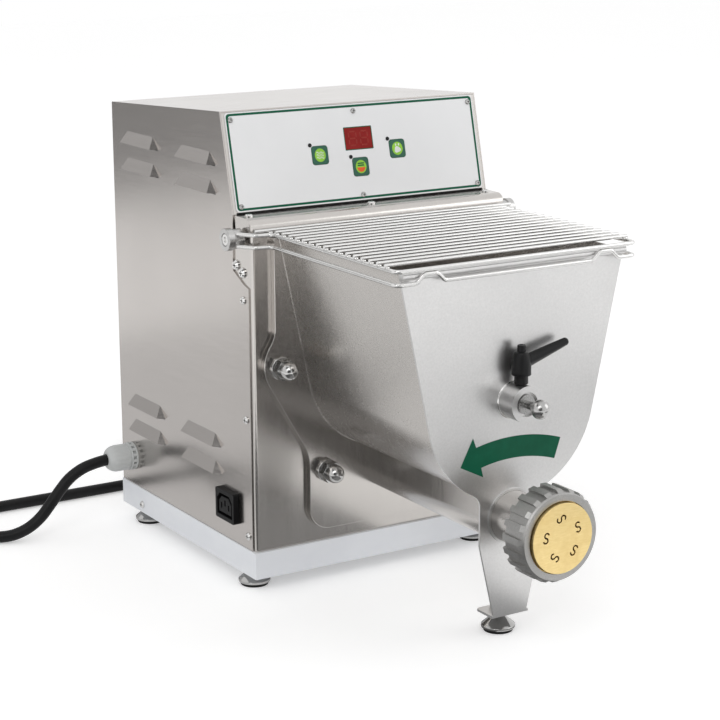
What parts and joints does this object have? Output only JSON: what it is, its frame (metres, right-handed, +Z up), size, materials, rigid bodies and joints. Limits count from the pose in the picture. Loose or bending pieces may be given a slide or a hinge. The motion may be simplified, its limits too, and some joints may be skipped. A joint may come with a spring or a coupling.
{
  "type": "electric pasta maker",
  "caption": "Countertop electric pasta maker: steel cabinet with control panel, mixing bowl under a hinged wire lid, and an extrusion barrel with ribbed ring nut and die.",
  "frame": {"origin": "centre of the footprint of the machine without its cord, on the table", "axes": "+Z up; -Y is the front, where the bowl and die point; +X is the viewer's right when facing the front"},
  "size_m": [0.4537, 0.7547, 0.413],
  "materials": {
    "steel_satin": "satin brushed stainless steel",
    "steel_side": "brushed stainless steel, warm grey",
    "steel_polished": "polished",
    "tray_paint": "smooth pale paint",
    "zinc_plate": "zinc plated",
    "label_print": "printed sheet",
    "display_red": "tinted window",
    "board_green": "circuit board",
    "key_green": "soft matt",
    "black_plastic": "satin black",
    "black_rubber": "matt",
    "grey_plastic": "light grey",
    "cast_alloy": "matt cast alloy",
    "gear_steel": "oiled steel",
    "motor_paint": "grey enamel",
    "die_brass": "machined"
  },
  "bodies": {
    "cabinet": {"base_tray": "tray_paint", "casing_shell": "steel_side", "rear_panel": "steel_satin", "front_cover": "steel_satin", "chassis_frame": "zinc_plate", "control_backing": "steel_satin", "label_plate": "label_print", "label_screws": "steel_polished", "display_window": "display_red", "control_board": "board_green", "status_leds": "black_plastic", "hinge_brackets": "steel_satin", "hinge_pins": "steel_polished", "panel_screws": "steel_polished", "bowl_rear_plate": "steel_satin", "bowl_shell": "steel_satin", "bowl_front_plate": "steel_satin", "extrusion_barrel": "steel_satin", "bowl_studs": "steel_polished", "stud_washers": "steel_polished", "cap_nuts": "steel_polished", "gearbox_housing": "cast_alloy", "gearbox_cover": "cast_alloy", "motor_housing": "motor_paint", "fan_cover": "black_plastic", "shaft_bearings": "gear_steel", "shaft_seals": "black_rubber", "power_outlet": "black_plastic", "cable_gland": "grey_plastic", "mains_cord": "black_rubber", "cord_coil": "black_rubber", "mains_plug": "black_rubber", "run_capacitor": "grey_plastic", "terminal_block": "grey_plastic", "lid_switch": "black_plastic", "foot_pads": "black_rubber"},
    "lid": {"lid_frame": "steel_polished", "lid_wires": "steel_polished", "hinge_hubs": "steel_polished"},
    "mixer": {"mixer_gear": "gear_steel", "mixer_paddle": "steel_satin"},
    "auger": {"auger_gear": "gear_steel", "feed_auger": "steel_satin"},
    "layshaft": {"layshaft_gears": "gear_steel"},
    "rotor": {"motor_rotor": "gear_steel", "cooling_fan": "black_plastic"},
    "pin": {"locking_pin": "steel_polished"},
    "lever": {"clamp_lever": "black_plastic"},
    "die": {"extrusion_die": "die_brass"},
    "nut": {"ring_nut": "cast_alloy"},
    "left_key": {"key_left": "key_green"},
    "centre_key": {"key_centre": "key_green"},
    "right_key": {"key_right": "key_green"},
    "front_left_foot": {"foot_front_left": "steel_polished"},
    "front_right_foot": {"foot_front_right": "steel_polished"},
    "rear_left_foot": {"foot_rear_left": "steel_polished"},
    "rear_right_foot": {"foot_rear_right": "steel_polished"},
    "bowl_leg_foot": {"foot_bowl_leg": "steel_polished"}
  },
  "joints": [
    {"name": "lid_hinge", "type": "hinge", "parent": "cabinet", "child": "lid", "pos_m": [0, 0.015, 0.311], "axis": [-1, 0, 0], "range_deg": [0, 95]},
    {"name": "mixer_spin", "type": "hinge", "parent": "cabinet", "child": "mixer", "pos_m": [0, 0, 0.2], "axis": [0, 1, 0], "continuous": true},
    {"name": "auger_spin", "type": "hinge", "parent": "cabinet", "child": "auger", "pos_m": [0, 0, 0.103], "axis": [0, 1, 0], "continuous": true},
    {"name": "layshaft_spin", "type": "hinge", "parent": "cabinet", "child": "layshaft", "pos_m": [0.05, 0, 0.13728], "axis": [0, 1, 0], "continuous": true},
    {"name": "rotor_spin", "type": "hinge", "parent": "cabinet", "child": "rotor", "pos_m": [0, 0, 0.13728], "axis": [0, 1, 0], "continuous": true},
    {"name": "locking_pin_slide", "type": "slide", "parent": "cabinet", "child": "pin", "axis": [0, -1, 0], "range_m": [0, 0.022]},
    {"name": "clamp_lever_turn", "type": "hinge", "parent": "cabinet", "child": "lever", "pos_m": [0, -0.204, 0.22], "axis": [0, 0, -1], "range_deg": [0, 170]},
    {"name": "die_slide", "type": "slide", "parent": "cabinet", "child": "die", "axis": [0, -1, 0], "range_m": [0, 0.009]},
    {"name": "ring_nut_turn", "type": "hinge", "parent": "die", "child": "nut", "pos_m": [0, -0.25, 0.103], "axis": [0, -1, 0], "range_deg": [0, 1080]},
    {"name": "left_key_press", "type": "slide", "parent": "cabinet", "child": "left_key", "axis": [0, 0.9721, -0.2345], "range_m": [0, 0.0008], "stiffness_N_per_m": 500},
    {"name": "centre_key_press", "type": "slide", "parent": "cabinet", "child": "centre_key", "axis": [0, 0.9721, -0.2345], "range_m": [0, 0.0008], "stiffness_N_per_m": 500},
    {"name": "right_key_press", "type": "slide", "parent": "cabinet", "child": "right_key", "axis": [0, 0.9721, -0.2345], "range_m": [0, 0.0008], "stiffness_N_per_m": 500},
    {"name": "front_left_foot_screw", "type": "hinge", "parent": "cabinet", "child": "front_left_foot", "pos_m": [-0.1165, 0.0265, 0.005], "axis": [0, 0, 1], "range_deg": [-360, 360]},
    {"name": "front_right_foot_screw", "type": "hinge", "parent": "cabinet", "child": "front_right_foot", "pos_m": [0.1165, 0.0265, 0.005], "axis": [0, 0, 1], "range_deg": [-360, 360]},
    {"name": "rear_left_foot_screw", "type": "hinge", "parent": "cabinet", "child": "rear_left_foot", "pos_m": [-0.1165, 0.233, 0.005], "axis": [0, 0, 1], "range_deg": [-360, 360]},
    {"name": "rear_right_foot_screw", "type": "hinge", "parent": "cabinet", "child": "rear_right_foot", "pos_m": [0.1165, 0.233, 0.005], "axis": [0, 0, 1], "range_deg": [-360, 360]},
    {"name": "bowl_leg_foot_screw", "type": "hinge", "parent": "cabinet", "child": "bowl_leg_foot", "pos_m": [0, -0.1775, 0.005], "axis": [0, 0, 1], "range_deg": [-360, 360]}
  ],
  "couplings": [
    {"joint": "auger_spin", "follows": "mixer_spin", "ratio": -1},
    {"joint": "layshaft_spin", "follows": "mixer_spin", "ratio": 4},
    {"joint": "rotor_spin", "follows": "mixer_spin", "ratio": -18.222},
    {"joint": "ring_nut_turn", "follows": "die_slide", "rad_per_m": 2094.4}
  ]
}
